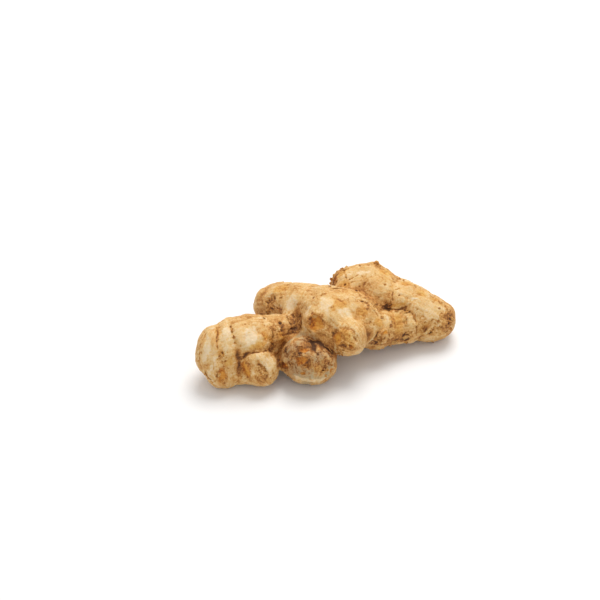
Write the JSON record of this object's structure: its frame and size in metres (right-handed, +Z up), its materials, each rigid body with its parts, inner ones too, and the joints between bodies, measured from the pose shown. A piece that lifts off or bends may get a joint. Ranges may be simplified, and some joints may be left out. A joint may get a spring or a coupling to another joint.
{
  "type": "ginger root",
  "caption": "Branched fresh ginger rhizome with swollen knobbly fingers, node rings and finger scars, lying on its finger tips.",
  "frame": {"origin": "on the resting surface, under the middle of the root's bounding box", "axes": "+X along the root from the swollen front finger to the far tip, -Y towards the side with the knobs and the stub, +Z up"},
  "size_m": [0.1132, 0.0628, 0.0314],
  "materials": {
    "skin": "dry, thin, pale tan ginger skin, mottled with whitish peeled patches, orange-brown scars and brown corky scabs; wood stands in for the root's flesh"
  },
  "bodies": {
    "root": {"rhizome": "skin"}
  },
  "joints": []
}
